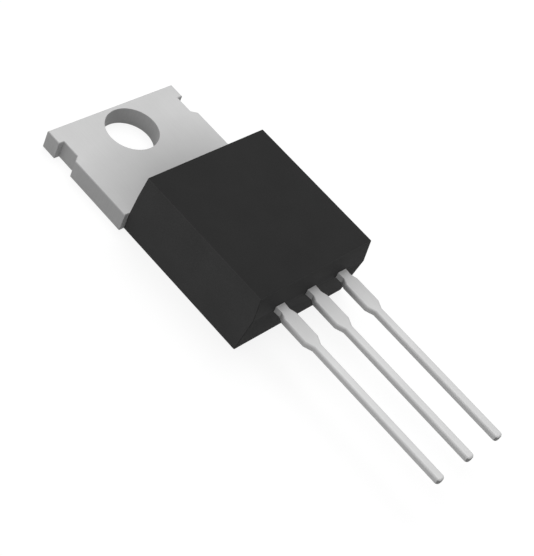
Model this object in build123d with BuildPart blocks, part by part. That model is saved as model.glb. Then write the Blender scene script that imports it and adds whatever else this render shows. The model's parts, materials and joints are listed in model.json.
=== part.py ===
from build123d import *
from math import atan2, radians, tan
import os

# Power MOSFET in a three-lead moulded package with a metal mounting tab.
# Millimetres. The origin is the centre of the mounting hole on the mounting face,
# +X runs along the row of leads, +Y towards the free end of the tab and +Z out of the front.
# Seen from the front with the tab up, the leads are gate, drain and source from left to right.

# ---- Leads, outside the moulding -------------------------------------------------------
lead_pitch = 2.54
lead_thickness = 0.39
lead_width = 0.56  # the tail that goes through a circuit board, and the neck at the moulding
lead_length = 12.52  # from the widest part of the moulding to the tip
lead_height = 2.65  # from the mounting face to the underside of the leads
neck_length = 0.17  # narrow stretch next to the moulding
flare_length = 0.70  # the neck widens to the shoulder
shoulder_length = 1.65  # wide stretch, where the row was held together before it was trimmed
shoulder_width = 1.06
taper_length = 0.50  # the shoulder narrows to the tail
stamped_radius = 0.06  # rounding that the die leaves on the front edges of a stamping

# ---- Tab -------------------------------------------------------------------------------
tab_width = 9.66
tab_length = 6.98  # from the free end to the shoulders at the moulding
tab_thickness = 1.25
hole_diameter = 3.30
hole_to_end = 1.92  # from the hole's centre to the free end
notch_to_end = 1.04  # from the free end to the square step of each side notch
notch_length = 1.50
notch_depth = 0.37
notch_ramp = 0.29  # length of the sloping end of the notch

# ---- Moulding --------------------------------------------------------------------------
body_width = 9.12  # at the parting line, the middle plane of the leads
body_length = 9.65  # at the parting line
front_cover = 1.37  # plastic in front of the leads
shoulder_gap = 0.11  # from the tab's shoulders to the moulding at the parting line
side_draft = 2.0  # degrees, both ways from the parting line
tab_end_draft = 4.6  # degrees, one slope from the mounting face to the front
lead_end_front_draft = 8.0  # degrees, parting line to front
lead_end_back_draft = 5.0  # degrees, parting line to mounting face
body_radius = 0.06

# ---- Pad of the header, under the plastic ----------------------------------------------
pad_length = 6.02  # from the tab's shoulders to the end of the pad
pad_side_cover = 0.45  # plastic beside the pad at the parting line
pad_corner = 0.60
ledge_width = 0.25  # coined step that locks the pad into the plastic
ledge_height = 0.40
groove_inset = 0.70  # from the tab's shoulders to the barrier groove across the pad
groove_width = 0.50
groove_depth = 0.18

# ---- Crank of the drain lead, from the pad up to the lead plane ------------------------
crank_width = 1.40
crank_start = 0.45  # from the end of the pad to the lower bend
crank_run = 1.45  # between the two bends, along the part
bend_radius = 0.60  # of the middle of the strip
crank_root = 0.60  # how far the strip's run is rooted in the pad

# ---- Posts of the gate and source leads ------------------------------------------------
post_length = 1.30
post_end_cover = 0.95  # plastic between the posts and the lead end of the moulding
post_side_cover = 0.50  # plastic beside the posts at the parting line
post_gap = 0.45  # between each post and the crank
post_corner = 0.25
lock_diameter = 0.50  # hole that the plastic fills, so that the lead can't be pulled out

# ---- Chip and solder -------------------------------------------------------------------
die_width = 5.20
die_length = 3.80
die_thickness = 0.22
solder_thickness = 0.05
solder_margin = 0.12

# ---- Bond wires ------------------------------------------------------------------------
source_wire_diameter = 0.38
gate_wire_diameter = 0.15
source_wire_pitch = 0.62
wire_cover = 0.40  # plastic in front of the top of each loop
foot_length = 2.1  # the flattened foot at each end, in wire diameters
foot_spread = 1.4  # its width, in wire diameters
foot_height = 0.55  # its height, in wire diameters
foot_middle = 0.3  # height of the wire's own middle there, in wire diameters
wire_ease = 1.2  # length that each bend takes on both sides, in wire diameters
bend_room = 0.4  # most that a bend may take of the shortest stretch between two bends
loop_rise = 0.50  # where along its span the wire reaches its full height
loop_fall = 0.78  # where along its span the wire starts down
gate_pad_inset = 0.60  # from the chip's edge to the gate pad

# ---- Places worked out from the sizes --------------------------------------------------
lead_top = lead_height + lead_thickness
parting = lead_height + lead_thickness / 2
body_height = lead_top + front_cover

tab_end = hole_to_end
tab_shoulder = tab_end - tab_length
body_tab_end = tab_shoulder - shoulder_gap
body_lead_end = body_tab_end - body_length
lead_tip = body_lead_end - lead_length

pad_end = tab_shoulder - pad_length
pad_width = body_width - 2 * pad_side_cover
exposed_width = pad_width - 2 * ledge_width

post_bottom = body_lead_end + post_end_cover
post_middle = post_bottom + post_length / 2
post_inner = crank_width / 2 + post_gap
post_outer = body_width / 2 - post_side_cover

die_middle = (body_tab_end + pad_end) / 2
die_top = tab_thickness + solder_thickness + die_thickness
wire_row = (post_inner + die_width / 2) / 2

all_through = 4 * body_height  # longer than anything that it cuts or meets

os.makedirs("parts", exist_ok=True)


def front_edges(piece, level, low, high):
    """Straight edges of a stamping's front face that lie between two places along Y."""
    edges = piece.edges().filter_by(GeomType.LINE)
    return edges.filter_by_position(Axis.Z, level, level).filter_by_position(Axis.Y, low, high)


def lead_plan(middle, inner_end, inner_width):
    """Corners of a lead seen from the front, from a place inside the plastic to the tip.

    The lead is inner_width wide at its inner end, and narrows before it leaves the plastic."""
    flare_start = body_lead_end - neck_length
    shoulder_start = flare_start - flare_length
    shoulder_end = shoulder_start - shoulder_length
    tail_start = shoulder_end - taper_length
    half_side = [
        (inner_width / 2, inner_end),
        (inner_width / 2, post_bottom),
        (lead_width / 2, post_bottom - (inner_width - lead_width) / 2),
        (lead_width / 2, flare_start),
        (shoulder_width / 2, shoulder_start),
        (shoulder_width / 2, shoulder_end),
        (lead_width / 2, tail_start),
        (lead_width / 2, lead_tip),
    ]
    right_side = [(middle + x, y) for x, y in half_side]
    left_side = [(middle - x, y) for x, y in reversed(half_side)]
    return right_side + left_side


# ---- Drain header: tab, pad and drain lead in one stamping -----------------------------
# The strip of the drain lead is drawn from the side, cranked up from the pad to the lead
# plane, and then cut to its plan.
with BuildPart() as drain_strip:
    with BuildSketch(Plane.YZ):
        with BuildLine():
            strip_root = pad_end + crank_root
            lower_bend = pad_end - crank_start
            upper_bend = lower_bend - crank_run
            climb = lead_top - tab_thickness
            mitre = lead_thickness / 2 * tan(atan2(climb, crank_run) / 2)
            inside_radius = bend_radius - lead_thickness / 2
            outside_radius = bend_radius + lead_thickness / 2
            front_line = FilletPolyline(
                (strip_root, tab_thickness),
                (lower_bend + mitre, tab_thickness),
                (upper_bend + mitre, lead_top),
                (lead_tip, lead_top),
                radius=[inside_radius, outside_radius],
            )
            back_line = FilletPolyline(
                (strip_root, tab_thickness - lead_thickness),
                (lower_bend - mitre, tab_thickness - lead_thickness),
                (upper_bend - mitre, lead_height),
                (lead_tip, lead_height),
                radius=[outside_radius, inside_radius],
            )
            Line(front_line @ 0, back_line @ 0)
            Line(front_line @ 1, back_line @ 1)
        make_face()
    extrude(amount=crank_width, both=True)
    with BuildSketch():
        with BuildLine():
            Polyline(*lead_plan(0, strip_root, crank_width), close=True)
        make_face()
    extrude(amount=all_through, mode=Mode.INTERSECT)

with BuildPart() as drain_header:
    # Tab, with its side notches and hole
    with BuildSketch():
        with BuildLine():
            half_tab = tab_width / 2
            notch_step = tab_end - notch_to_end
            notch_end = notch_step - notch_length
            side = [
                (half_tab, tab_end),
                (half_tab, notch_step),
                (half_tab - notch_depth, notch_step),
                (half_tab - notch_depth, notch_end + notch_ramp),
                (half_tab, notch_end),
                (half_tab, tab_shoulder),
            ]
            Polyline(*side, *[(-x, y) for x, y in reversed(side)], close=True)
        make_face()
        Circle(hole_diameter / 2, mode=Mode.SUBTRACT)
    extrude(amount=tab_thickness)
    # Pad, with its corners cut and the coined ledge that locks it into the plastic
    with BuildSketch() as exposed_plan:
        with Locations((0, tab_shoulder)):
            Rectangle(exposed_width, pad_length - ledge_width, align=(Align.CENTER, Align.MAX))
        chamfer(exposed_plan.vertices().group_by(Axis.Y)[0], pad_corner)
    extrude(amount=tab_thickness)
    with BuildSketch(Plane.XY.offset(ledge_height)) as pad_plan:
        with Locations((0, tab_shoulder)):
            Rectangle(pad_width, pad_length, align=(Align.CENTER, Align.MAX))
        chamfer(pad_plan.vertices().group_by(Axis.Y)[0], pad_corner)
    extrude(amount=tab_thickness - ledge_height)
    # Barrier groove across the pad
    with BuildSketch(Plane.YZ):
        with BuildLine():
            groove_middle = tab_shoulder - groove_inset
            Polyline(
                (groove_middle - groove_width / 2, tab_thickness),
                (groove_middle, tab_thickness - groove_depth),
                (groove_middle + groove_width / 2, tab_thickness),
                close=True,
            )
        make_face()
    extrude(amount=pad_width, both=True, mode=Mode.SUBTRACT)
    add(drain_strip.part)
    fillet(front_edges(drain_header, tab_thickness, tab_shoulder, tab_end), stamped_radius)
    fillet(front_edges(drain_header, lead_top, lead_tip, body_lead_end), stamped_radius)
drain_header.part.label = "drain_header"
export_step(drain_header.part, "parts/drain_header.step")


# ---- Gate and source leads -------------------------------------------------------------
def bonded_lead(side):
    """A lead with a bond post under the plastic, on side -1 (gate) or 1 (source)."""
    with BuildPart() as lead:
        with BuildSketch(Plane.XY.offset(lead_height)):
            with Locations((side * (post_inner + post_outer) / 2, post_middle)):
                RectangleRounded(post_outer - post_inner, post_length, post_corner)
            with BuildLine():
                Polyline(*lead_plan(side * lead_pitch, post_middle, shoulder_width), close=True)
            make_face()
            with Locations((side * (lead_pitch + post_outer) / 2, post_middle)):
                Circle(lock_diameter / 2, mode=Mode.SUBTRACT)
        extrude(amount=lead_thickness)
        fillet(front_edges(lead, lead_top, lead_tip, body_lead_end), stamped_radius)
    return lead


gate_lead = bonded_lead(-1)
gate_lead.part.label = "gate_lead"
export_step(gate_lead.part, "parts/gate_lead.step")

source_lead = bonded_lead(1)
source_lead.part.label = "source_lead"
export_step(source_lead.part, "parts/source_lead.step")

# ---- Solder and chip on the pad --------------------------------------------------------
with BuildPart() as die_attach_solder:
    with BuildSketch(Plane.XY.offset(tab_thickness)):
        with Locations((0, die_middle)):
            Rectangle(die_width + 2 * solder_margin, die_length + 2 * solder_margin)
    extrude(amount=solder_thickness)
die_attach_solder.part.label = "die_attach_solder"
export_step(die_attach_solder.part, "parts/die_attach_solder.step")

with BuildPart() as silicon_die:
    with BuildSketch(Plane.XY.offset(tab_thickness + solder_thickness)):
        with Locations((0, die_middle)):
            Rectangle(die_width, die_length)
    extrude(amount=die_thickness)
silicon_die.part.label = "silicon_die"
export_step(silicon_die.part, "parts/silicon_die.step")


# ---- Bond wires ------------------------------------------------------------------------
def eased(corners, ease):
    """The same route with each inner corner cut off, so that it turns in two equal steps."""
    corners = [Vector(corner) for corner in corners]
    inner = corners[1:-1]
    shortest = min((after - before).length for before, after in zip(inner, inner[1:]))
    ease = min(ease, bend_room * shortest)
    route = [corners[0]]
    for before, corner, after in zip(corners, corners[1:], corners[2:]):
        route.append(corner + (before - corner).normalized() * ease)
        route.append(corner + (after - corner).normalized() * ease)
    return [(point.X, point.Y) for point in route + [corners[-1]]]


def bond_wire(row, diameter, chip_foot, lead):
    """A wire along Y, looped from its foot on the chip up to its foot on a lead's post."""
    half_foot = foot_length * diameter / 2
    chip_level = die_top + foot_middle * diameter
    post_level = lead_top + foot_middle * diameter
    loop_level = body_height - wire_cover - diameter / 2
    span_start = chip_foot - half_foot
    span = post_middle + half_foot - span_start
    with BuildPart() as wire:
        with BuildLine(Plane.YZ.offset(row)) as route:
            corners = [
                (chip_foot + half_foot / 2, chip_level),
                (span_start, chip_level),
                (span_start + loop_rise * span, loop_level),
                (span_start + loop_fall * span, loop_level),
                (span_start + span, post_level),
                (post_middle - half_foot / 2, post_level),
            ]
            Polyline(*eased(corners, wire_ease * diameter))
        with BuildSketch(Plane(origin=route.line @ 0, z_dir=route.line % 0)):
            Circle(diameter / 2)
        sweep(transition=Transition.RIGHT)
        for level, foot in ((die_top, chip_foot), (lead_top, post_middle)):
            with BuildSketch(Plane.XY.offset(level)):
                with Locations((row, foot)):
                    RectangleRounded(foot_spread * diameter, 2 * half_foot, 0.3 * diameter)
            extrude(amount=foot_height * diameter)
        add(silicon_die.part, mode=Mode.SUBTRACT)
        add(lead.part, mode=Mode.SUBTRACT)
    return wire


gate_pad = die_middle - die_length / 2 + gate_pad_inset
gate_bond_wire = bond_wire(-wire_row, gate_wire_diameter, gate_pad, gate_lead)
gate_bond_wire.part.label = "gate_bond_wire"
export_step(gate_bond_wire.part, "parts/gate_bond_wire.step")

source_bond_wires = []
for number, offset_in_pair in enumerate((-source_wire_pitch / 2, source_wire_pitch / 2), 1):
    source_bond_wire = bond_wire(
        wire_row + offset_in_pair, source_wire_diameter, die_middle, source_lead
    )
    source_bond_wire.part.label = f"source_bond_wire_{number}"
    export_step(source_bond_wire.part, f"parts/source_bond_wire_{number}.step")
    source_bond_wires.append(source_bond_wire)

# ---- Moulding, cast round all the rest -------------------------------------------------
with BuildPart() as moulded_body:
    # Side view: the walls at both ends lean by their drafts ...
    with BuildSketch(Plane.YZ):
        with BuildLine():
            front_rise = body_height - parting
            tab_slope = tan(radians(tab_end_draft))
            Polyline(
                (body_tab_end + parting * tab_slope, 0),
                (body_tab_end - front_rise * tab_slope, body_height),
                (body_lead_end + front_rise * tan(radians(lead_end_front_draft)), body_height),
                (body_lead_end, parting),
                (body_lead_end + parting * tan(radians(lead_end_back_draft)), 0),
                close=True,
            )
        make_face()
    extrude(amount=body_width, both=True)
    # ... and end view: the side walls lean both ways from the parting line.
    with BuildSketch(Plane.XZ):
        with BuildLine():
            side_slope = tan(radians(side_draft))
            right_wall = [
                (body_width / 2 - parting * side_slope, 0),
                (body_width / 2, parting),
                (body_width / 2 - front_rise * side_slope, body_height),
            ]
            Polyline(*right_wall, *[(-x, z) for x, z in reversed(right_wall)], close=True)
        make_face()
    extrude(amount=all_through, both=True, mode=Mode.INTERSECT)
    outer_edges = moulded_body.edges().filter_by_position(Axis.Z, 0, 0)
    fillet(moulded_body.edges() - outer_edges, body_radius)
    inner_pieces = [drain_header, gate_lead, source_lead, die_attach_solder, silicon_die]
    for piece in inner_pieces + [gate_bond_wire] + source_bond_wires:
        add(piece.part, mode=Mode.SUBTRACT)
moulded_body.part.label = "moulded_body"
export_step(moulded_body.part, "parts/moulded_body.step")
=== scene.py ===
"""Looks of a three-lead power transistor: plated stampings, a black moulding and a plain studio.

Everything is in metres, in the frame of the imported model: the origin is the centre of the mounting
hole on the mounting face, +X runs along the row of leads, +Y towards the free end of the tab and
+Z out of the front of the moulding.
"""
import json
import logging
from collections.abc import Iterable
from dataclasses import dataclass, field
from enum import Enum, IntEnum
from math import atan2, cos, hypot, pi, radians, sin, tan

import bmesh
import bpy
from bmesh.types import BMEdge, BMFace, BMesh, BMVert
from bpy.types import ID, Material, Mesh, Node, NodeSocket, Object, World
from mathutils import Matrix, Vector


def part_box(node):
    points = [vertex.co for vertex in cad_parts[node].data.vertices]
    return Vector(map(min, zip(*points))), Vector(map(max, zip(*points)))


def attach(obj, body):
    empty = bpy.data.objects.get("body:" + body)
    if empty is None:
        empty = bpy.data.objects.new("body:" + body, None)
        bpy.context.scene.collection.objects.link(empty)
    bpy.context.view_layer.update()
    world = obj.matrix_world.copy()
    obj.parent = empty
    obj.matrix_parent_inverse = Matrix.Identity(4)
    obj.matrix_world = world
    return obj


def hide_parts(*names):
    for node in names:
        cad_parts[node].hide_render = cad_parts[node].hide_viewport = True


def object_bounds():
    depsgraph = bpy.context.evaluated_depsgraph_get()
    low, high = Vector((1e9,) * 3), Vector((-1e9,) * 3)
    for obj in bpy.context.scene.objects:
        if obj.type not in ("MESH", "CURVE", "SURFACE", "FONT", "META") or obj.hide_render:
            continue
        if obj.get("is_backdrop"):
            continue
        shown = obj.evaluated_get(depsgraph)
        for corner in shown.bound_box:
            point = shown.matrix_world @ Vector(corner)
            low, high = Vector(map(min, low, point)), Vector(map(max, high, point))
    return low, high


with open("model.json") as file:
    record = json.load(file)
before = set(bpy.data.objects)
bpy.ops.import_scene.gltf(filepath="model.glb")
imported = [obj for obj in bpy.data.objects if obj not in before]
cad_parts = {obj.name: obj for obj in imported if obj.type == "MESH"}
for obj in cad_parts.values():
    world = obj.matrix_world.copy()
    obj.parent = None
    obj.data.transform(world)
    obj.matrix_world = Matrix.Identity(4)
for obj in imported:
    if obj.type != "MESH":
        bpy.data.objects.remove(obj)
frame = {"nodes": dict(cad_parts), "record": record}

CAD_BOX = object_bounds()
MM = 0.001
NEAR = 0.001 * MM  # two places closer than this are the same
CORNER = radians(40)  # an edge that turns by more is a corner of the form
SHARP = radians(35)  # an edge that turns by more is shaded as one
FLAT = radians(0.5)  # faces that turn by less lie in one plane
ARC = 0.5  # the profile of a rounding that is a true arc

Point = tuple[float, float]
Triple = tuple[float, float, float]

log = logging.getLogger("power_transistor")


# ---- Finishes ---------------------------------------------------------------------------


class Grain(Enum):
    """Which way the fine lines of a metal face run; each value scales noise along X, Y and Z."""

    ROLLED = (30.0, 0.9, 30.0)  # lines along the strip
    SHEARED = (26.0, 26.0, 1.6)  # lines through the thickness
    DRAWN = (40.0, 2.0, 40.0)  # lines along a wire


class Tin(IntEnum):
    """The places of the tin finishes among a stamping's materials; the sheared and cut ones are
    darker copies of the tin that are painted shade.
    """

    ROLLED = 0
    SHEARED = 1
    DIPPED = 2
    CUT = 3


class Plastic(IntEnum):
    """The places of the plastic finishes among the moulding's materials; the sides and the lead end
    get lighter copies of one compound, which is painted light.
    """

    MOULDED = 0
    SIDE = 1
    END = 2


class NodeTree:
    """Adds nodes to a tree and joins them."""

    def __init__(self, owner: Material | World) -> None:
        """Starts on the nodes of a material or of the world."""
        owner.use_nodes = True
        self.tree = owner.node_tree

    def add(self, kind: str, **values: object) -> Node:
        """Adds a node.

        Args:
            kind: The node's type name, without its ShaderNode start.
            values: The node's own settings, or its inputs by name with _ for a space.

        Returns:
            The new node.
        """
        node = self.tree.nodes.new("ShaderNode" + kind)
        for name, value in values.items():
            if hasattr(node, name):
                setattr(node, name, value)
            else:
                node.inputs[name.replace("_", " ")].default_value = value
        return node

    def join(self, source: NodeSocket, target: NodeSocket) -> None:
        """Joins an output to an input."""
        self.tree.links.new(source, target)

    def seen(self) -> NodeSocket:
        """Gives 1 to rays that look: straight from the camera, off a gloss or through glass."""
        path = self.add("LightPath")
        total = path.outputs["Is Camera Ray"]
        for name in ("Is Glossy Ray", "Is Transmission Ray"):
            either = self.add("Math", operation="MAXIMUM")
            self.join(total, either.inputs[0])
            self.join(path.outputs[name], either.inputs[1])
            total = either.outputs["Value"]
        return total


class SurfaceNodes(NodeTree):
    """The nodes of a new material, round its shader."""

    noise_middle = (0.3, 0.7)  # nearly all of a noise lies between these
    noise_roughness = 0.55

    def __init__(self, name: str) -> None:
        """Starts a material that holds only a shader and an output."""
        self.material = bpy.data.materials.new(name)
        super().__init__(self.material)
        self.shader = self.tree.nodes["Principled BSDF"]

    def set_shader(self, **values: float) -> None:
        """Sets the shader's inputs, by name with _ for a space."""
        for name, value in values.items():
            self.shader.inputs[name.replace("_", " ")].default_value = value

    def object_millimetres(self, scale: Triple) -> NodeSocket:
        """Gives object coordinates in millimetres, scaled along each axis."""
        place = self.add("TexCoord")
        mapping = self.add("Mapping", vector_type="POINT")
        mapping.inputs["Scale"].default_value = [s / MM for s in scale]
        self.join(place.outputs["Object"], mapping.inputs["Vector"])
        return mapping.outputs["Vector"]

    def noise(self, scale: Triple, detail: float) -> NodeSocket:
        """Gives noise from 0 to 1 with about that many features to a millimetre each way."""
        texture = self.add("TexNoise", Scale=1.0, Detail=detail, Roughness=self.noise_roughness)
        self.join(self.object_millimetres(scale), texture.inputs["Vector"])
        return texture.outputs["Fac"]

    def vary(self, noise: NodeSocket, middle: float, reach: float) -> NodeSocket:
        """Spreads a noise over the values that lie within a reach of a middle one."""
        least, most = self.noise_middle
        spread = self.add(
            "MapRange", From_Min=least, From_Max=most, To_Min=middle - reach, To_Max=middle + reach
        )
        self.join(noise, spread.inputs["Value"])
        return spread.outputs["Result"]

    def product(self, first: NodeSocket, second: NodeSocket) -> NodeSocket:
        """Multiplies two values."""
        times = self.add("Math", operation="MULTIPLY")
        self.join(first, times.inputs[0])
        self.join(second, times.inputs[1])
        return times.outputs["Value"]

    def tint(self, value: NodeSocket, colour: Triple) -> NodeSocket:
        """Scales a colour by a value near 1."""
        scaled = self.add("VectorMath", operation="SCALE")
        scaled.inputs[0].default_value = colour
        self.join(value, scaled.inputs["Scale"])
        return scaled.outputs["Vector"]

    def painted_shade_beside_moulding(self, reach: Point, depth: float) -> NodeSocket:
        """Gives 1 all over, but less towards the middle of the moulding's end walls, for painted
        shade.

        Args:
            reach: How far the change reaches, along X and Y.
            depth: How far below 1 it goes.

        Returns:
            The value.
        """
        lowest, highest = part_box("moulded_body")
        middle, half_length = (lowest.y + highest.y) / 2, (highest.y - lowest.y) / 2
        steps = [
            ("SUBTRACT", (0, middle, 0)),
            ("ABSOLUTE", None),
            ("SUBTRACT", (0, half_length, 0)),
            ("MAXIMUM", (0, 0, 0)),
            ("MULTIPLY", (1 / reach[0], 1 / reach[1], 0)),
        ]
        place = self.add("TexCoord").outputs["Object"]
        for operation, value in steps:
            step = self.add("VectorMath", operation=operation)
            if value:
                step.inputs[1].default_value = value
            self.join(place, step.inputs[0])
            place = step.outputs["Vector"]
        distance = self.add("VectorMath", operation="LENGTH")
        self.join(place, distance.inputs[0])
        share = self.add("MapRange", To_Min=1 - depth, To_Max=1.0)
        self.join(distance.outputs["Value"], share.inputs["Value"])
        return share.outputs["Result"]

    def cover(self, colour: NodeSocket, roughness: NodeSocket) -> None:
        """Gives the shader its colour and roughness."""
        self.join(colour, self.shader.inputs["Base Color"])
        self.join(roughness, self.shader.inputs["Roughness"])

    def bump(self, height: NodeSocket, depth: float, strength: float) -> None:
        """Raises the surface by a height from 0 to 1 times a depth in metres."""
        bump = self.add("Bump", Distance=depth, Strength=strength)
        self.join(height, bump.inputs["Height"])
        self.join(bump.outputs["Normal"], self.shader.inputs["Normal"])


@dataclass(frozen=True)
class MetalFinish:
    """A metal surface with fine lines along one way, a faint cloudiness and, on some finishes,
    painted shade beside the moulding.
    """

    name: str
    colour: Triple
    roughness: float
    grain: Grain
    metallic: float = 0.25
    specular: float = 0.25
    roughness_contrast: float = 0.05  # how far the lines change the roughness
    line_contrast: float = 0.03  # how far they change the colour
    line_detail: float = 3.0
    cloud_contrast: float = 0.02  # how far the cloudiness does
    cloud_size: float = 0.55  # clouds to a millimetre
    cloud_detail: float = 2.0
    relief: float = 0.004 * MM
    relief_strength: float = 0.5
    # how far the painted shade beside the moulding reaches, along X and Y
    painted_shade_reach: Point = (7.5 * MM, 5.4 * MM)
    painted_shade_depth: float = 0.0  # how far painted shade darkens the metal beside the moulding

    def material(self) -> Material:
        """Builds the material."""
        nodes = SurfaceNodes(self.name)
        nodes.set_shader(Metallic=self.metallic, Specular_IOR_Level=self.specular)
        lines = nodes.noise(self.grain.value, self.line_detail)
        clouds = nodes.noise((self.cloud_size,) * 3, self.cloud_detail)
        tone = nodes.product(
            nodes.vary(lines, 1, self.line_contrast), nodes.vary(clouds, 1, self.cloud_contrast)
        )
        # painted shade: the tone falls towards the moulding's end walls
        if self.painted_shade_depth:
            tone = nodes.product(tone, nodes.painted_shade_beside_moulding(self.painted_shade_reach, self.painted_shade_depth))
        rough = nodes.vary(lines, self.roughness, self.roughness_contrast)
        nodes.cover(nodes.tint(tone, self.colour), rough)
        nodes.bump(lines, self.relief, self.relief_strength)
        return nodes.material


@dataclass(frozen=True)
class MouldedFinish:
    """Black moulding compound with the fine grain of a spark-eroded mould."""

    name: str
    colour: Triple
    roughness: float = 0.70
    specular: float = 0.06
    roughness_contrast: float = 0.06
    grain_size: float = 14.0  # grains to a millimetre
    grain_contrast: float = 0.10
    cloud_size: float = 0.4  # clouds to a millimetre
    cloud_contrast: float = 0.06
    noise_detail: float = 2.0
    relief: float = 0.006 * MM
    relief_strength: float = 0.6

    def material(self) -> Material:
        """Builds the material."""
        nodes = SurfaceNodes(self.name)
        nodes.set_shader(Specular_IOR_Level=self.specular)
        grain = nodes.noise((self.grain_size,) * 3, self.noise_detail)
        clouds = nodes.noise((self.cloud_size,) * 3, self.noise_detail)
        tone = nodes.product(
            nodes.vary(grain, 1, self.grain_contrast), nodes.vary(clouds, 1, self.cloud_contrast)
        )
        rough = nodes.vary(grain, self.roughness, self.roughness_contrast)
        nodes.cover(nodes.tint(tone, self.colour), rough)
        nodes.bump(grain, self.relief, self.relief_strength)
        return nodes.material


@dataclass(frozen=True)
class ChipFinish:
    """Polished silicon under an aluminium film, with the faint grid of its cells."""

    name: str = "silicon_chip"
    colour: Triple = (0.16, 0.17, 0.19)
    metallic: float = 0.6
    roughness: float = 0.22
    cells: float = 8.0  # to a millimetre
    cell_gap: float = 0.08  # in cells
    cell_shade: float = 0.92  # of the colour, in every other cell
    gap_shade: float = 0.6

    def material(self) -> Material:
        """Builds the material."""
        nodes = SurfaceNodes(self.name)
        nodes.set_shader(Metallic=self.metallic, Roughness=self.roughness)
        grid = nodes.add(
            "TexBrick", Scale=1.0, Mortar_Size=self.cell_gap, Brick_Width=1.0, Row_Height=1.0
        )
        grid.offset = 0.0
        shades = {"Color1": 1.0, "Color2": self.cell_shade, "Mortar": self.gap_shade}
        for name, shade in shades.items():
            grid.inputs[name].default_value = (*(shade * c for c in self.colour), 1)
        nodes.join(nodes.object_millimetres((self.cells,) * 3), grid.inputs["Vector"])
        nodes.join(grid.outputs["Color"], nodes.shader.inputs["Base Color"])
        return nodes.material


TIN = {
    # rolled and dipped tin carry painted shade that darkens them towards the moulding
    Tin.ROLLED: MetalFinish("rolled_tin", (0.54,) * 3, 0.60, Grain.ROLLED, painted_shade_depth=0.41),
    # sheared tin and the cut end are darker copies of the tin, painted shade on the tab's upright
    # walls and the tips' end faces, with the sheared grain
    Tin.SHEARED: MetalFinish(
        "sheared_tin_painted_shade", (0.455,) * 3, 0.65, Grain.SHEARED, line_contrast=0.06, relief=0.006 * MM
    ),
    Tin.DIPPED: MetalFinish(
        "dipped_tin", (0.60,) * 3, 0.55, Grain.ROLLED,
        painted_shade_reach=(20.0 * MM, 4.5 * MM), painted_shade_depth=0.29,
    ),
    Tin.CUT: MetalFinish("cut_end_painted_shade", (0.27,) * 3, 0.60, Grain.SHEARED, line_contrast=0.06),
}
PLASTIC = {
    Plastic.MOULDED: MouldedFinish("mould_compound", (0.0235,) * 3),
    # painted light: lighter copies of the same compound for the sides and the lead end
    Plastic.SIDE: MouldedFinish("mould_compound_painted_light_side", (0.066,) * 3),
    Plastic.END: MouldedFinish("mould_compound_painted_light_end", (0.043,) * 3),
}
SOLDER = MetalFinish(
    "reflowed_solder", (0.48, 0.48, 0.49), 0.42, Grain.ROLLED, metallic=0.9, specular=0.5,
    cloud_contrast=0.06,
)
WIRE = MetalFinish(
    "drawn_aluminium", (0.78, 0.78, 0.79), 0.30, Grain.DRAWN, metallic=0.9, specular=0.5
)


# ---- Mesh work --------------------------------------------------------------------------


def rounded(
    outline: list[Point], corners: list[Point], radius: float, steps: int = 4
) -> list[Point]:
    """Rounds some corners of a closed outline.

    Args:
        outline: The outline's corners, in order.
        corners: Those to round.
        radius: Radius of the rounding.
        steps: Straight parts to each rounding.

    Returns:
        The new outline.
    """
    result: list[Point] = []
    for before, corner, after in zip(outline[-1:] + outline, outline, outline[1:] + outline[:1]):
        if corner not in corners:
            result.append(corner)
            continue
        place = Vector(corner)
        back, ahead = (Vector(before) - place).normalized(), (Vector(after) - place).normalized()
        half = back.angle(ahead) / 2
        centre = place + radius / sin(half) * (back + ahead).normalized()
        start = (place + radius / tan(half) * back - centre).normalized()
        end = (place + radius / tan(half) * ahead - centre).normalized()
        result += [tuple(centre + radius * start.slerp(end, k / steps)) for k in range(steps + 1)]
    return result


def circle(middle: Point, radius: float, segments: int) -> list[Point]:
    """Draws the outline of a round hole."""
    turns = [2 * pi * k / segments for k in range(segments)]
    return [(middle[0] + radius * cos(t), middle[1] + radius * sin(t)) for t in turns]


def both_sides(outer: list[Point], inner: list[Point] | None = None) -> list[Point]:
    """Closes an outline that is drawn on the right and repeated on the left.

    Args:
        outer: Corners on the right, in order.
        inner: Corners on the right of the inner side, for a ring that is open at one end.

    Returns:
        All the corners, in order.
    """
    mirrored = [(-x, y) for x, y in reversed(outer)]
    if inner is None:
        return outer + mirrored
    return outer + mirrored + [(-x, y) for x, y in inner] + list(reversed(inner))


def unique(parts: Iterable) -> list:
    """Lists parts once each, in the order in which they come."""
    return list(dict.fromkeys(parts))


def round_hole(outline: list[Point], hole: list[Point]) -> list[list[Point]]:
    """Splits an outline that has a round hole into two that have none.

    They meet along the lines from the hole to the two corners of the outline that are level with
    its middle, so those lines are square to the hole's edge and don't hinder its rounding.

    Args:
        outline: The outline's corners, in order.
        hole: The hole's, anticlockwise from its right.

    Returns:
        Both outlines.
    """
    level, half = hole[0][1], len(hole) // 2
    first, second = (k for k, corner in enumerate(outline) if abs(corner[1] - level) < NEAR)
    upper, lower = hole[:half + 1], hole[half:] + hole[:1]
    parts = []
    for side in (outline[first:second + 1], outline[second:] + outline[:first + 1]):
        arc = upper if side[1][1] > level else lower
        way = 1 if (arc[-1][0] > arc[0][0]) == (side[0][0] > side[-1][0]) else -1
        parts.append(side + arc[::way])
    return parts


def draw_plan(bm: BMesh, level: float, outlines: list[list[Point]]) -> list[BMFace]:
    """Draws a flat plan at one level.

    Args:
        bm: The mesh to draw in.
        level: Height of the plan.
        outlines: Closed outlines as lists of corners, which share those that are the same.

    Returns:
        A face for each outline.
    """
    places = unique(place for outline in outlines for place in outline)
    corners = {place: bm.verts.new((*place, level)) for place in places}
    return [bm.faces.new([corners[place] for place in outline]) for outline in outlines]


def corners_of(faces: list[BMFace]) -> list[BMVert]:
    """The corners of some faces."""
    return unique(vert for face in faces for vert in face.verts)


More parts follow.
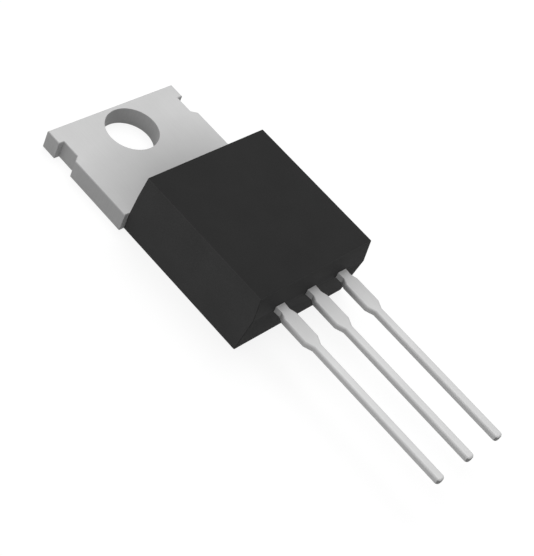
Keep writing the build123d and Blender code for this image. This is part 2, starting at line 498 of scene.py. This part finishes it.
def edges_of(faces: list[BMFace]) -> list[BMEdge]:
    """The edges of some faces."""
    return unique(edge for face in faces for edge in face.edges)


def split(bm: BMesh, faces: list[BMFace], place: Triple, way: Triple) -> None:
    """Splits some faces along a plane through a place, square to a way."""
    near = faces + edges_of(faces) + corners_of(faces)
    bmesh.ops.bisect_plane(bm, geom=near, dist=NEAR, plane_co=place, plane_no=way)


def extrude(bm: BMesh, faces: list[BMFace], way: Vector) -> list[BMFace]:
    """Extrudes faces along a vector and returns them at their new place.

    The edges go in too, or the faces that were extruded would stay inside the piece.
    """
    made = bmesh.ops.extrude_face_region(bm, geom=faces + edges_of(faces))["geom"]
    moved = [part for part in made if isinstance(part, BMVert)]
    bmesh.ops.translate(bm, vec=way, verts=moved)
    return [part for part in made if isinstance(part, BMFace)]


def bend(bm: BMesh, faces: list[BMFace], centre: Vector, angle: float, steps: int) -> list[BMFace]:
    """Extrudes faces round an axis along X and returns them at their new place."""
    turn = Matrix.Rotation(angle / steps, 3, "X")
    for _ in range(steps):
        faces = extrude(bm, faces, Vector())
        bmesh.ops.rotate(bm, cent=centre, matrix=turn, verts=corners_of(faces))
    return faces


def run_to(bm: BMesh, faces: list[BMFace], y: float, half_width: float) -> list[BMFace]:
    """Extrudes a strip's end face along Y to a place and gives it a new width there."""
    corners = corners_of(faces)
    middle = sum((vert.co for vert in corners), Vector()) / len(corners)
    old = max(abs(vert.co.x - middle.x) for vert in corners)
    faces = extrude(bm, faces, Vector((0, y - middle.y, 0)))
    place = Matrix.Translation(-middle)
    bmesh.ops.scale(bm, vec=(half_width / old, 1, 1), space=place, verts=corners_of(faces))
    return faces


def round_edges(bm: BMesh, edges: list[BMEdge], radius: float, segments: int = 3) -> None:
    """Rounds edges."""
    bmesh.ops.bevel(
        bm, geom=edges, offset=radius, offset_type="OFFSET", segments=segments, profile=ARC,
        affect="EDGES", clamp_overlap=True, material=-1,
    )


def is_corner(edge: BMEdge) -> bool:
    """Says whether two faces meet at an edge with a clear turn."""
    return len(edge.link_faces) == 2 and edge.calc_face_angle() > CORNER


def mesh_of(bm: BMesh, name: str) -> Mesh:
    """Turns what was drawn, which is freed, into a mesh."""
    mesh = bpy.data.meshes.new(name)
    bm.to_mesh(mesh)
    bm.free()
    return mesh


def add_object(name: str, data: ID) -> Object:
    """Puts a mesh, a lamp or a camera into the scene."""
    item = bpy.data.objects.new(name, data)
    bpy.context.scene.collection.objects.link(item)
    return item


def finish_piece(name: str, bm: BMesh, materials: list[Material]) -> Object:
    """Makes an object of a mesh, smooth across its roundings and sharp at its corners.

    Args:
        name: Name of the piece.
        bm: Its mesh, which is freed.
        materials: Its materials, in the order of its faces' indices.

    Returns:
        The object, in the scene.
    """
    bmesh.ops.remove_doubles(bm, verts=bm.verts, dist=NEAR)
    bmesh.ops.recalc_face_normals(bm, faces=bm.faces)
    mesh = mesh_of(bm, name)
    for material in materials:
        mesh.materials.append(material)
    mesh.shade_smooth()
    mesh.set_sharp_from_angle(angle=SHARP)
    piece = add_object(name, mesh)
    weighted = piece.modifiers.new("flat_faces_stay_flat", "WEIGHTED_NORMAL")
    weighted.keep_sharp = True
    return piece


def joined_copy(node: str) -> Object:
    """Copies a CAD node, with its loose triangles joined, for the room it takes in the plastic."""
    bm = bmesh.new()
    bm.from_mesh(frame["nodes"][node].data)
    bmesh.ops.remove_doubles(bm, verts=bm.verts, dist=NEAR / 10)  # the wires have fine facets
    return add_object("copy_of_" + node, mesh_of(bm, "copy_of_" + node))


def hand_over(piece: Object, node: str) -> None:
    """Lets a piece stand for a CAD node and ride on the body, and hides the node."""
    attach(piece, "root")
    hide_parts(node)
    log.info("%s stands for %s, %d faces", piece.name, node, len(piece.data.polygons))


def mount_sizes(name: str) -> dict[str, float]:
    """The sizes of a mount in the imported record, in millimetres."""
    return next(m["dims"] for m in frame["record"]["mounts"] if m["name"] == name)


# ---- Stampings --------------------------------------------------------------------------


@dataclass
class LeadForm:
    """Plan of a lead outside the moulding, the same on all three."""

    width: float = 0.56 * MM
    root_width: float = 0.68 * MM
    root_cover: float = 0.08 * MM  # the root starts this far under the plastic
    neck_width: float = 0.58 * MM
    neck_length: float = 0.42 * MM
    flare_length: float = 0.36 * MM
    shoulder_length: float = 1.74 * MM
    shoulder_width: float = 1.06 * MM
    taper_length: float = 0.50 * MM
    edge_radius: float = 0.13 * MM
    back_edge_radius: float = 0.06 * MM
    back_edge_segments: int = 2
    tip_radius: float = 0.20 * MM
    tip_segments: int = 5

    def stations(self, wall: float, tip: float) -> list[Point]:
        """Lists places along Y, each with the half width there, from the root to the tip.

        Args:
            wall: Where the lead leaves the moulding.
            tip: Where it ends.

        Returns:
            Pairs of place and half width.
        """
        flare = wall - self.neck_length
        shoulder = flare - self.flare_length
        taper = shoulder - self.shoulder_length
        return [
            (wall + self.root_cover, self.root_width / 2),
            (flare, self.neck_width / 2),
            (shoulder, self.shoulder_width / 2),
            (taper, self.shoulder_width / 2),
            (taper - self.taper_length, self.width / 2),
            (tip, self.width / 2),
        ]


@dataclass
class Stamping:
    """What every stamped piece shares: its places, its rounded edges and its finishes."""

    node: str  # the CAD node that it stands for
    form: LeadForm = field(default_factory=LeadForm)
    post_end_cover: float = 0.95 * MM  # plastic from the broad inner ends to the leads' wall
    painted_shade_wall_rise: float = 0.25  # the normal of a sheared wall, painted darker as shade, rises by less than this
    painted_shade_tip_rise: float = 0.6  # the normal of the cut at the tip, painted darker as shade, rises by less than this
    painted_shade_tip_turn: float = 0.3  # and turns by more than this towards the tip
    wall: float = field(init=False)  # where the leads leave the moulding
    tip: float = field(init=False)
    low: float = field(init=False)  # back of the leads
    high: float = field(init=False)  # front of the leads

    def __post_init__(self) -> None:
        """Takes the leads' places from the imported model."""
        lowest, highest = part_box("gate_lead")
        self.tip, self.low, self.high = lowest.y, lowest.z, highest.z
        self.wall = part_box("moulded_body")[0].y

    def inner_stations(self, half_width: float) -> list[Point]:
        """Lists places and half widths from a broad inner end, through a slope, to the tip."""
        bottom, root_half = self.wall + self.post_end_cover, self.form.root_width / 2
        slope_end = bottom - (half_width - root_half)
        outside = self.form.stations(self.wall, self.tip)
        return [(bottom, half_width), (slope_end, root_half), *outside]

    def round_lead(self, bm: BMesh) -> None:
        """Rounds the cut tip of a lead and its long edges, the front ones more."""
        def long_edges(level: float) -> list[BMEdge]:
            """The edges along the lead at one level, outside the plastic."""
            return [
                e for e in bm.edges
                if is_corner(e)
                and all(abs(v.co.z - level) < NEAR and v.co.y < self.wall for v in e.verts)
            ]

        tip_corners = [
            e for e in bm.edges
            if is_corner(e)
            and all(abs(v.co.y - self.tip) < NEAR for v in e.verts)
            and abs(e.verts[0].co.x - e.verts[1].co.x) < NEAR
        ]
        form = self.form
        round_edges(bm, tip_corners, form.tip_radius, form.tip_segments)
        round_edges(bm, long_edges(self.high), form.edge_radius)
        round_edges(bm, long_edges(self.low), form.back_edge_radius, form.back_edge_segments)

    def paint(self, bm: BMesh) -> None:
        """Gives each face its finish, by its place and by the way it faces; the darker tin on the
        tips' end faces and the tab's upright walls is painted shade.
        """
        bm.normal_update()
        for face in bm.faces:
            nearest = min(vert.co.y for vert in face.verts)
            rise = abs(face.normal.z)
            at_tip = nearest < self.tip + self.form.tip_radius
            # painted shade: darker tin on the tips' end faces and the tab's upright walls
            if at_tip and face.normal.y < -self.painted_shade_tip_turn and rise < self.painted_shade_tip_rise:
                face.material_index = Tin.CUT
            elif nearest < self.wall - NEAR:
                face.material_index = Tin.DIPPED
            elif rise < self.painted_shade_wall_rise:
                face.material_index = Tin.SHEARED
            else:
                face.material_index = Tin.ROLLED


@dataclass
class BondedLead(Stamping):
    """Gate or source lead: a lead with a broad bond post under the plastic."""

    mirrored: bool = False  # the lead on the left is the right one mirrored
    post_corner: float = 0.25 * MM
    lock_radius: float = 0.25 * MM  # of the hole that the plastic fills
    lock_segments: int = 24

    def build(self, materials: list[Material]) -> Object:
        """Builds the lead."""
        lowest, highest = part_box(self.node)
        pitch = mount_sizes("lead_row")["spacing_x_mm"] * MM
        inner, outer = sorted((abs(lowest.x), abs(highest.x)))
        stations = self.inner_stations(self.form.shoulder_width / 2)
        right = [(pitch + x, y) for y, x in stations]
        left = [(pitch - x, y) for y, x in reversed(stations)]
        bottom, top = self.wall + self.post_end_cover, highest.y
        middle = (bottom + top) / 2
        post = [(inner, y) for y in (bottom, middle, top)]
        post += [(outer, y) for y in (top, middle, bottom)]
        corners = [place for place in post if place[1] != middle]
        outline = rounded(right + left + post, corners, self.post_corner)
        lock_hole = circle(((pitch + outer) / 2, middle), self.lock_radius, self.lock_segments)
        bm = bmesh.new()
        draw_plan(bm, self.low, round_hole(outline, lock_hole))
        if self.mirrored:
            bmesh.ops.scale(bm, vec=(-1, 1, 1), verts=bm.verts)
        extrude(bm, list(bm.faces), Vector((0, 0, self.high - self.low)))
        bmesh.ops.recalc_face_normals(bm, faces=bm.faces)
        self.round_lead(bm)
        self.paint(bm)
        return finish_piece(self.node.replace("_lead", "_pin"), bm, materials)


@dataclass
class DrainHeader(Stamping):
    """Tab, pad and drain lead, stamped in one piece from copper strip of two thicknesses."""

    shoulder_to_end: float = 6.98 * MM
    notch_to_end: float = 1.04 * MM
    notch_length: float = 1.50 * MM
    notch_depth: float = 0.37 * MM
    notch_ramp: float = 0.29 * MM
    pad_length: float = 6.02 * MM
    pad_half_width: float = 4.11 * MM
    pad_corner: float = 0.60 * MM
    ledge_width: float = 0.25 * MM
    ledge_height: float = 0.40 * MM
    groove_inset: float = 0.70 * MM
    groove_half_width: float = 0.25 * MM
    groove_depth: float = 0.18 * MM
    crank_half_width: float = 0.70 * MM
    crank_start: float = 0.45 * MM
    crank_run: float = 1.45 * MM
    bend_radius: float = 0.60 * MM
    hole_segments: int = 96
    bend_steps: int = 8
    front_edge_radius: float = 0.07 * MM
    hole_edge_radius: float = 0.04 * MM
    hole_edge_segments: int = 2
    hole_radius: float = field(init=False)
    thickness: float = field(init=False)
    half_width: float = field(init=False)
    end: float = field(init=False)  # free end of the tab
    shoulder: float = field(init=False)  # where the tab meets the pad
    pad_end: float = field(init=False)

    def __post_init__(self) -> None:
        """Takes the tab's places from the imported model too."""
        super().__post_init__()
        hole = mount_sizes("mounting_hole")
        self.hole_radius, self.thickness = hole["r_mm"] * MM, hole["length_mm"] * MM
        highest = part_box(self.node)[1]
        self.half_width, self.end = highest.x, highest.y
        self.shoulder = self.end - self.shoulder_to_end
        self.pad_end = self.shoulder - self.pad_length

    def build(self, materials: list[Material]) -> Object:
        """Builds the header."""
        bm = bmesh.new()
        self.blank(bm)
        self.press_groove(bm)
        self.draw_lead(bm)
        self.round_tab(bm)
        self.round_lead(bm)
        self.paint(bm)
        return finish_piece("tab_and_drain_pin", bm, materials)

    def blank(self, bm: BMesh) -> None:
        """Blanks the tab and pad, with the coined ledge round the pad's underside."""
        step = self.end - self.notch_to_end
        ramp = step - self.notch_length
        waist = self.half_width - self.notch_depth
        bare_half = self.pad_half_width - self.ledge_width
        bare_end = self.pad_end + self.ledge_width
        tab_side = [
            (self.half_width, self.end), (self.half_width, step), (waist, step),
            (waist, 0.0), (waist, ramp + self.notch_ramp), (self.half_width, ramp),
            (self.half_width, self.shoulder), (self.pad_half_width, self.shoulder),
        ]
        bare_side = [
            (bare_half, self.shoulder), (bare_half, bare_end + self.pad_corner),
            (bare_half - self.pad_corner, bare_end),
        ]
        pad_side = [
            (self.pad_half_width, self.shoulder),
            (self.pad_half_width, self.pad_end + self.pad_corner),
            (self.pad_half_width - self.pad_corner, self.pad_end),
            (self.crank_half_width, self.pad_end),
        ]
        hole = circle((0.0, 0.0), self.hole_radius, self.hole_segments)
        bare = round_hole(both_sides(tab_side + bare_side), hole)
        ledge = both_sides(pad_side, bare_side)
        faces = draw_plan(bm, self.ledge_height, [*bare, ledge])
        extrude(bm, faces, Vector((0, 0, self.thickness - self.ledge_height)))
        extrude(bm, faces[:len(bare)], Vector((0, 0, -self.ledge_height)))
        bmesh.ops.recalc_face_normals(bm, faces=bm.faces)

    def press_groove(self, bm: BMesh) -> None:
        """Presses the barrier groove across the front of the pad."""
        middle = self.shoulder - self.groove_inset
        for place in (-self.groove_half_width, 0.0, self.groove_half_width):
            front = [
                f for f in bm.faces if all(abs(v.co.z - self.thickness) < NEAR for v in f.verts)
            ]
            split(bm, front, (0, middle + place, 0), (0, 1, 0))
        for vert in bm.verts:
            if abs(vert.co.y - middle) < NEAR and abs(vert.co.z - self.thickness) < NEAR:
                vert.co.z -= self.groove_depth

    def end_wall(self, bm: BMesh, level: float) -> list[BMFace]:
        """The faces over a level where the pad ends and the strip starts."""
        return [
            f for f in bm.faces
            if all(abs(v.co.y - self.pad_end) < NEAR for v in f.verts)
            and abs(f.calc_center_median().x) < self.crank_half_width
            and f.calc_center_median().z > level
        ]

    def draw_lead(self, bm: BMesh) -> None:
        """Draws the drain lead out of the end of the pad, cranked up to the lead plane."""
        strip = self.high - self.low
        strip_back = self.thickness - strip
        split(bm, self.end_wall(bm, 0.0), (0, 0, strip_back), (0, 0, 1))
        climb = self.high - self.thickness
        slope = atan2(climb, self.crank_run)
        tangent = self.bend_radius * tan(slope / 2)
        middle = self.thickness - strip / 2
        lower = self.pad_end - self.crank_start + tangent
        upper = self.pad_end - self.crank_start - self.crank_run - tangent
        faces = run_to(bm, self.end_wall(bm, strip_back), lower, self.crank_half_width)
        centre = Vector((0, lower, middle + self.bend_radius))
        faces = bend(bm, faces, centre, -slope, self.bend_steps)
        length = hypot(climb, self.crank_run) - 2 * tangent
        faces = extrude(bm, faces, length * Vector((0, -cos(slope), sin(slope))))
        centre = Vector((0, upper, middle + climb - self.bend_radius))
        faces = bend(bm, faces, centre, slope, self.bend_steps)
        for y, half_width in self.inner_stations(self.crank_half_width):
            faces = run_to(bm, faces, y, half_width)
        flat = [e for e in bm.edges if len(e.link_faces) == 2 and e.calc_face_angle() < FLAT]
        bmesh.ops.dissolve_limit(bm, angle_limit=FLAT, verts=[], edges=flat)
        bmesh.ops.recalc_face_normals(bm, faces=bm.faces)

    def round_tab(self, bm: BMesh) -> None:
        """Rounds the front edges of the tab, and breaks both edges of its hole."""
        def edges_at(level: float, in_hole: bool) -> list[BMEdge]:
            """The tab's edges at one level, either round its hole or round its outline."""
            return [
                e for e in bm.edges
                if is_corner(e)
                and all(abs(v.co.z - level) < NEAR for v in e.verts)
                and all(v.co.y > self.shoulder - NEAR for v in e.verts)
                and all((v.co.xy.length < self.hole_radius + NEAR) == in_hole for v in e.verts)
            ]

        round_edges(bm, edges_at(self.thickness, False), self.front_edge_radius)
        for level in (self.thickness, 0.0):
            hole_edges = edges_at(level, True)
            round_edges(bm, hole_edges, self.hole_edge_radius, self.hole_edge_segments)


# ---- Moulding ---------------------------------------------------------------------------


@dataclass
class MouldedBody:
    """The black moulding, with drafted walls, cast round the stampings."""

    node: str
    side_draft: float = radians(2.0)
    tab_end_draft: float = radians(4.6)
    lead_end_front_draft: float = radians(8.0)
    lead_end_back_draft: float = radians(5.0)
    edge_radius: float = 0.06 * MM
    wall_turn: float = 0.9  # the normal of a side wall, painted lighter, turns sideways by more than this
    edge_turn: float = 0.3  # and that of a rounding beside it, or of an end's, by more than this; these are painted lighter too

    def build(self, inserts: list[Object], materials: list[Material]) -> Object:
        """Builds the moulding.

        Args:
            inserts: The pieces that it is cast round.
            materials: Its materials.

        Returns:
            The piece.
        """
        bm = bmesh.new()
        self.shape(bm)
        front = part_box(self.node)[1].z
        rim = [
            e for e in bm.edges
            if is_corner(e) and all(abs(v.co.z - front) < NEAR for v in e.verts)
        ]
        round_edges(bm, rim, self.edge_radius)
        self.paint(bm)
        piece = finish_piece("moulded_case", bm, materials)
        self.cast_round(piece, inserts)
        return piece

    def shape(self, bm: BMesh) -> None:
        """Draws the walls through three levels: the back, the parting line and the front."""
        lowest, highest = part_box(self.node)
        leads_low, leads_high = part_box("gate_lead")
        parting = (leads_low.z + leads_high.z) / 2
        middle = (lowest.y + highest.y) / 2
        rise = highest.z - parting
        right = highest.x - parting * tan(self.side_draft)
        # The tab fills the room below its own front, so the moulding's box ends there.
        tab_front = mount_sizes("mounting_hole")["length_mm"] * MM
        tab_wall = highest.y + tab_front * tan(self.tab_end_draft)
        lead_wall = lowest.y + parting * tan(self.lead_end_back_draft)
        plan = [(right, tab_wall), (-right, tab_wall), (-right, lead_wall), (right, lead_wall)]
        faces = draw_plan(bm, 0.0, [rounded(plan, plan, self.edge_radius)])
        moves = [
            # level, and how far the side, tab end and lead end walls stand out from the level below
            (parting, parting * tan(self.side_draft), -parting * tan(self.tab_end_draft),
             -parting * tan(self.lead_end_back_draft)),
            (highest.z, -rise * tan(self.side_draft), -rise * tan(self.tab_end_draft),
             rise * tan(self.lead_end_front_draft)),
        ]
        for level, side, tab_end, lead_end in moves:
            faces = extrude(bm, faces, Vector())
            for vert in corners_of(faces):
                vert.co.x += side if vert.co.x > 0 else -side
                vert.co.y += tab_end if vert.co.y > middle else lead_end
                vert.co.z = level
        bmesh.ops.recalc_face_normals(bm, faces=bm.faces)

    def paint(self, bm: BMesh) -> None:
        """Gives each face a copy of the compound by the way it faces; the lighter copies on the
        sides, their roundings and the lead end are painted light.
        """
        bm.normal_update()
        for face in bm.faces:
            side = abs(face.normal.x)
            lead_end = face.normal.y < -self.edge_turn and face.normal.z > 0
            # painted light: the sides, their roundings and the lead end's upper wall take lighter
            # copies of the compound
            if side > self.wall_turn:
                face.material_index = Plastic.SIDE
            elif side > self.edge_turn or lead_end:
                face.material_index = Plastic.END
            else:
                face.material_index = Plastic.MOULDED

    def cast_round(self, piece: Object, inserts: list[Object]) -> None:
        """Takes the room of the inserts out of the moulding."""
        weighted = piece.modifiers["flat_faces_stay_flat"]
        weighted.show_viewport = False
        rooms = []
        for insert in inserts:
            room = piece.modifiers.new("room_for_" + insert.name, "BOOLEAN")
            room.operation, room.solver, room.object = "DIFFERENCE", "EXACT", insert
            rooms.append(room)
        graph = bpy.context.evaluated_depsgraph_get()
        cast = bpy.data.meshes.new_from_object(piece.evaluated_get(graph))
        for room in rooms:
            piece.modifiers.remove(room)
        weighted.show_viewport = True
        piece.data = cast
        cast.name = piece.name
        cast.set_sharp_from_angle(angle=SHARP)


# ---- Chip, solder and wires, inside the moulding ----------------------------------------


@dataclass
class Innards:
    """The CAD nodes under the plastic, which keep their shape and get their finish."""

    finishes: dict[str, MetalFinish | ChipFinish] = field(
        default_factory=lambda: {
            "die_attach_solder": SOLDER,
            "silicon_die": ChipFinish(),
            "gate_bond_wire": WIRE,
            "source_bond_wire_1": WIRE,
            "source_bond_wire_2": WIRE,
        }
    )

    def dress(self) -> None:
        """Puts each finish into its nodes' material slots."""
        made = {finish: finish.material() for finish in unique(self.finishes.values())}
        for node, finish in self.finishes.items():
            for slot in frame["nodes"][node].material_slots:
                slot.material = made[finish]
            log.info("%s keeps its shape and takes %s", node, finish.name)


# ---- Studio -----------------------------------------------------------------------------


def outward(azimuth: float, elevation: float) -> Vector:
    """Turns a direction from the part into a vector.

    Args:
        azimuth: 0 towards -Y and a quarter turn towards +X.
        elevation: Height over the floor, as an angle.

    Returns:
        The direction, 1 long.
    """
    return Vector((
        sin(azimuth) * cos(elevation), -cos(azimuth) * cos(elevation), sin(elevation)
    ))


@dataclass(frozen=True)
class Lamp:
    """A soft square lamp that faces the middle of the part."""

    name: str
    azimuth: float
    elevation: float
    size: float
    power: float  # watts
    distance: float = 0.25

    def hang(self) -> None:
        """Hangs the lamp."""
        light = bpy.data.lights.new(self.name, "AREA")
        light.shape, light.size, light.energy = "SQUARE", self.size, self.power
        lamp = add_object(self.name, light)
        out = outward(self.azimuth, self.elevation)
        lamp.location = (CAD_BOX[0] + CAD_BOX[1]) / 2 + self.distance * out
        lamp.rotation_euler = out.to_track_quat("Z", "Y").to_euler()


@dataclass(frozen=True)
class View:
    """The camera, which looks down on the front of the part from the side of its leads."""

    azimuth: float = radians(-64.896)
    elevation: float = radians(44.809)
    roll: float = radians(28.641)
    distance: float = 84.551 * MM
    aim_right: float = 8.246 * MM  # from the origin to the middle of the view, across it
    aim_up: float = -7.903 * MM
    lens: float = 93.197
    nearest: float = 0.001
    farthest: float = 10.0

    def place(self) -> None:
        """Places the camera."""
        lens = bpy.data.cameras.new("camera")
        lens.lens, lens.clip_start, lens.clip_end = self.lens, self.nearest, self.farthest
        camera = add_object("camera", lens)
        back = outward(self.azimuth, self.elevation)
        level = Vector((cos(self.azimuth), sin(self.azimuth), 0))
        turn = Matrix.Rotation(self.roll, 3, back)
        right, up = turn @ level, turn @ back.cross(level)
        axes = Matrix((right, up, back)).transposed()
        place = self.distance * back + self.aim_right * right + self.aim_up * up
        camera.matrix_world = Matrix.Translation(place) @ axes.to_4x4()
        bpy.context.scene.camera = camera


@dataclass
class Studio:
    """Pale floor, white surroundings, soft lamps and the camera."""

    floor_half: float = 1.5
    floor_gap: float = 0.002 * MM  # keeps the floor clear of the mounting face
    floor_colour: float = 0.18
    floor_glow: float = 0.86  # what the white surroundings add to the floor where it is seen
    ambient: float = 0.50  # light of the surroundings on the object
    lamps: tuple[Lamp, ...] = (
        Lamp("key_lamp", radians(130), radians(66), size=0.16, power=0.30),
        Lamp("fill_lamp", radians(-90), radians(15), size=0.20, power=0.096),
    )
    view: View = View()

    def build(self) -> None:
        """Builds the whole studio."""
        self.lay_floor()
        self.light_world()
        for lamp in self.lamps:
            lamp.hang()
        self.view.place()
        bpy.context.scene.view_settings.view_transform = "Standard"

    def lay_floor(self) -> None:
        """Lays the pale floor under the part."""
        bm = bmesh.new()
        bmesh.ops.create_grid(bm, x_segments=1, y_segments=1, size=self.floor_half)
        bmesh.ops.translate(bm, vec=(0, 0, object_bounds()[0].z - self.floor_gap), verts=bm.verts)
        floor = add_object("floor", mesh_of(bm, "floor"))
        material = bpy.data.materials.new("pale_floor")
        nodes = NodeTree(material)
        nodes.tree.nodes.remove(nodes.tree.nodes["Principled BSDF"])
        diffuse = nodes.add("BsdfDiffuse", Color=(*(self.floor_colour,) * 3, 1))
        strength = nodes.add("Math", operation="MULTIPLY")
        strength.inputs[1].default_value = self.floor_glow
        nodes.join(nodes.seen(), strength.inputs[0])
        glow = nodes.add("Emission")
        nodes.join(strength.outputs["Value"], glow.inputs["Strength"])
        both = nodes.add("AddShader")
        nodes.join(diffuse.outputs["BSDF"], both.inputs[0])
        nodes.join(glow.outputs["Emission"], both.inputs[1])
        output = nodes.tree.nodes["Material Output"]
        nodes.join(both.outputs["Shader"], output.inputs["Surface"])
        floor.data.materials.append(material)
        floor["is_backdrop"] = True

    def light_world(self) -> None:
        """Surrounds the part with white that lights it at a plain level."""
        world = bpy.data.worlds.new("surroundings")
        bpy.context.scene.world = world
        nodes = NodeTree(world)
        background = nodes.tree.nodes["Background"]
        background.inputs["Color"].default_value = (1, 1, 1, 1)
        strength = nodes.add("MapRange", To_Min=self.ambient, To_Max=1.0)
        nodes.join(nodes.seen(), strength.inputs["Value"])
        nodes.join(strength.outputs["Result"], background.inputs["Strength"])


def main() -> None:
    """Builds the pieces in order, then the studio."""
    logging.basicConfig(level=logging.INFO, format="%(name)s: %(message)s")
    tin = [TIN[place].material() for place in Tin]
    header = DrainHeader("drain_header").build(tin)
    gate = BondedLead("gate_lead", mirrored=True).build(tin)
    source = BondedLead("source_lead").build(tin)
    innards = Innards()
    copies = [joined_copy(node) for node in innards.finishes]
    plastic = [PLASTIC[place].material() for place in Plastic]
    case = MouldedBody("moulded_body").build([header, gate, source, *copies], plastic)
    for copy in copies:
        bpy.data.objects.remove(copy)
    hand_over(header, "drain_header")
    hand_over(gate, "gate_lead")
    hand_over(source, "source_lead")
    hand_over(case, "moulded_body")
    innards.dress()
    Studio().build()


if __name__ == "__main__":
    main()
